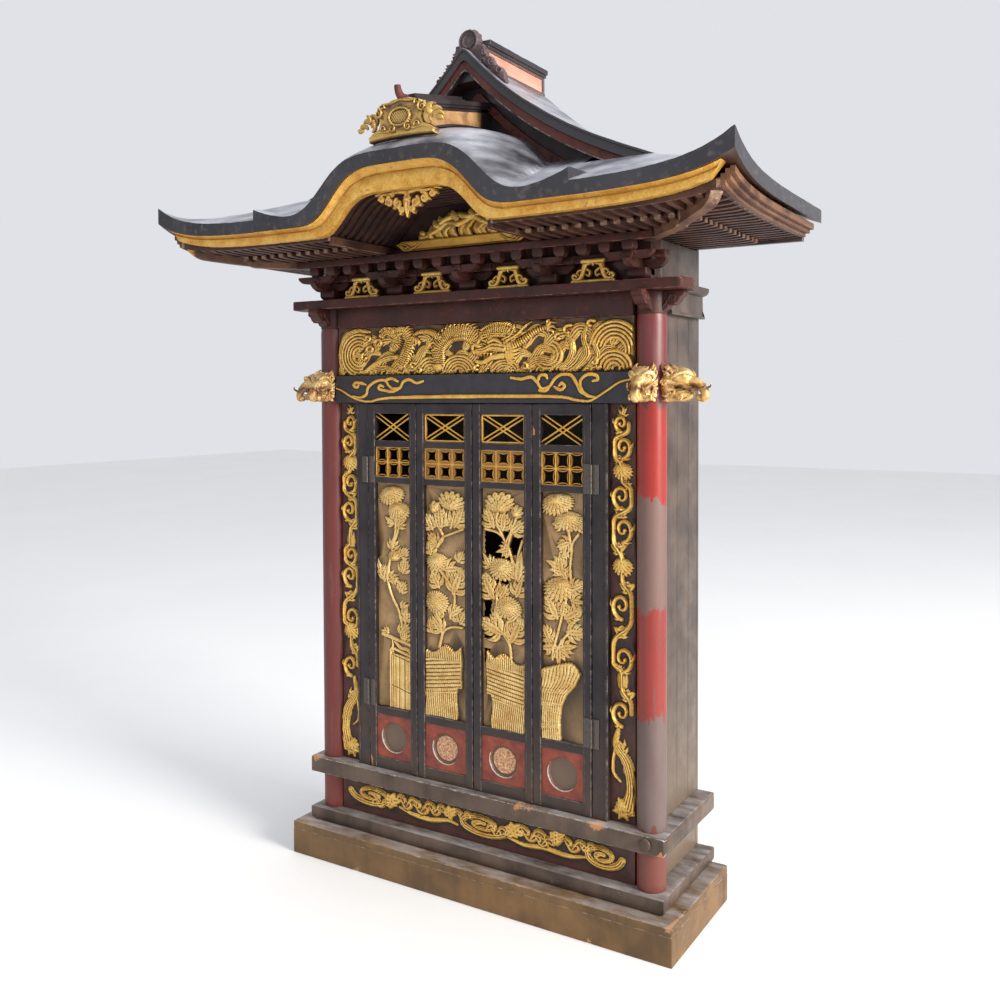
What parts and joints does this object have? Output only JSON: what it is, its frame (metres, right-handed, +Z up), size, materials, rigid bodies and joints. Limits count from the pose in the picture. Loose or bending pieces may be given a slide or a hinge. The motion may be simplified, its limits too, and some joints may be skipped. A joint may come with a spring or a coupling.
{
  "type": "portable shrine",
  "caption": "Tall lacquered and gilded shrine cabinet with folding front doors, carved friezes, round columns and a hip-and-gable roof with an undulating front gable.",
  "frame": {"origin": "on the floor, under the middle of the whole outline", "axes": "+Z up; the doors face -Y; +X is to the right of a viewer who faces the doors; the back is cut flat at the +Y end"},
  "size_m": [1.424, 0.56, 1.9773],
  "materials": {
    "black_lacquer": "aged black lacquer on wood, satin, worn brown along edges",
    "brown_lacquer": "thin red-brown lacquer on wood, dusty in the hollows",
    "red_lacquer": "vermilion lacquer, rubbed and stained",
    "roof_lacquer": "weathered black lacquer with a pale bloom on top",
    "gilding": "gold leaf on carved wood, dark in the recesses",
    "iron": "darkened metal"
  },
  "bodies": {
    "cabinet": {"back_board": "black_lacquer", "base_box": "black_lacquer", "base_front": "red_lacquer", "beast_front_left": "gilding", "beast_front_right": "gilding", "beast_side_left": "gilding", "beast_side_right": "gilding", "bracket_band": "brown_lacquer", "carved_end_left": "brown_lacquer", "carved_end_right": "brown_lacquer", "column_left": "red_lacquer", "column_right": "red_lacquer", "dragon_frieze": "gilding", "eaves": "brown_lacquer", "frog_leg_far_left": "gilding", "frog_leg_far_right": "gilding", "frog_leg_mid_left": "gilding", "frog_leg_mid_right": "gilding", "gable_barge": "roof_lacquer", "gable_pendant": "gilding", "gable_wall": "brown_lacquer", "gilded_barge": "gilding", "head_beam": "brown_lacquer", "hinge_left_lower": "iron", "hinge_left_upper": "iron", "hinge_right_lower": "iron", "hinge_right_upper": "iron", "jamb_left": "black_lacquer", "jamb_right": "black_lacquer", "ledge": "black_lacquer", "ledge_boss": "black_lacquer", "ogre_tile_front": "gilding", "ogre_tile_main": "brown_lacquer", "plinth": "brown_lacquer", "plinth_step": "black_lacquer", "rainbow_beam": "black_lacquer", "ridge_front": "brown_lacquer", "ridge_main": "brown_lacquer", "roof_lower": "roof_lacquer", "roof_main": "roof_lacquer", "side_cornice_left": "black_lacquer", "side_cornice_right": "black_lacquer", "vault_carving": "gilding", "vine_panel_left": "gilding", "vine_panel_right": "gilding", "wall_left": "black_lacquer", "wall_plate": "brown_lacquer", "wall_right": "black_lacquer"},
    "leaf_left_outer": {"door_left_outer": "black_lacquer", "door_carving_left_outer": "gilding", "door_square_left_outer": "red_lacquer"},
    "leaf_left_middle": {"door_left_middle": "black_lacquer", "door_carving_left_middle": "gilding", "door_square_left_middle": "red_lacquer"},
    "leaf_right_outer": {"door_right_outer": "black_lacquer", "door_carving_right_outer": "gilding", "door_square_right_outer": "red_lacquer"},
    "leaf_right_middle": {"door_right_middle": "black_lacquer", "door_carving_right_middle": "gilding", "door_square_right_middle": "red_lacquer"}
  },
  "joints": [
    {"name": "left_jamb", "type": "hinge", "parent": "cabinet", "child": "leaf_left_outer", "pos_m": [-0.304, -0.0015, 0.6875], "axis": [0, 0, -1], "range_deg": [0, 110]},
    {"name": "left_fold", "type": "hinge", "parent": "leaf_left_outer", "child": "leaf_left_middle", "pos_m": [-0.158, 0.0255, 0.6875], "axis": [0, 0, 1], "range_deg": [0, 175]},
    {"name": "right_jamb", "type": "hinge", "parent": "cabinet", "child": "leaf_right_outer", "pos_m": [0.304, -0.0015, 0.6875], "axis": [0, 0, 1], "range_deg": [0, 110]},
    {"name": "right_fold", "type": "hinge", "parent": "leaf_right_outer", "child": "leaf_right_middle", "pos_m": [0.158, 0.0255, 0.6875], "axis": [0, 0, -1], "range_deg": [0, 175]}
  ]
}
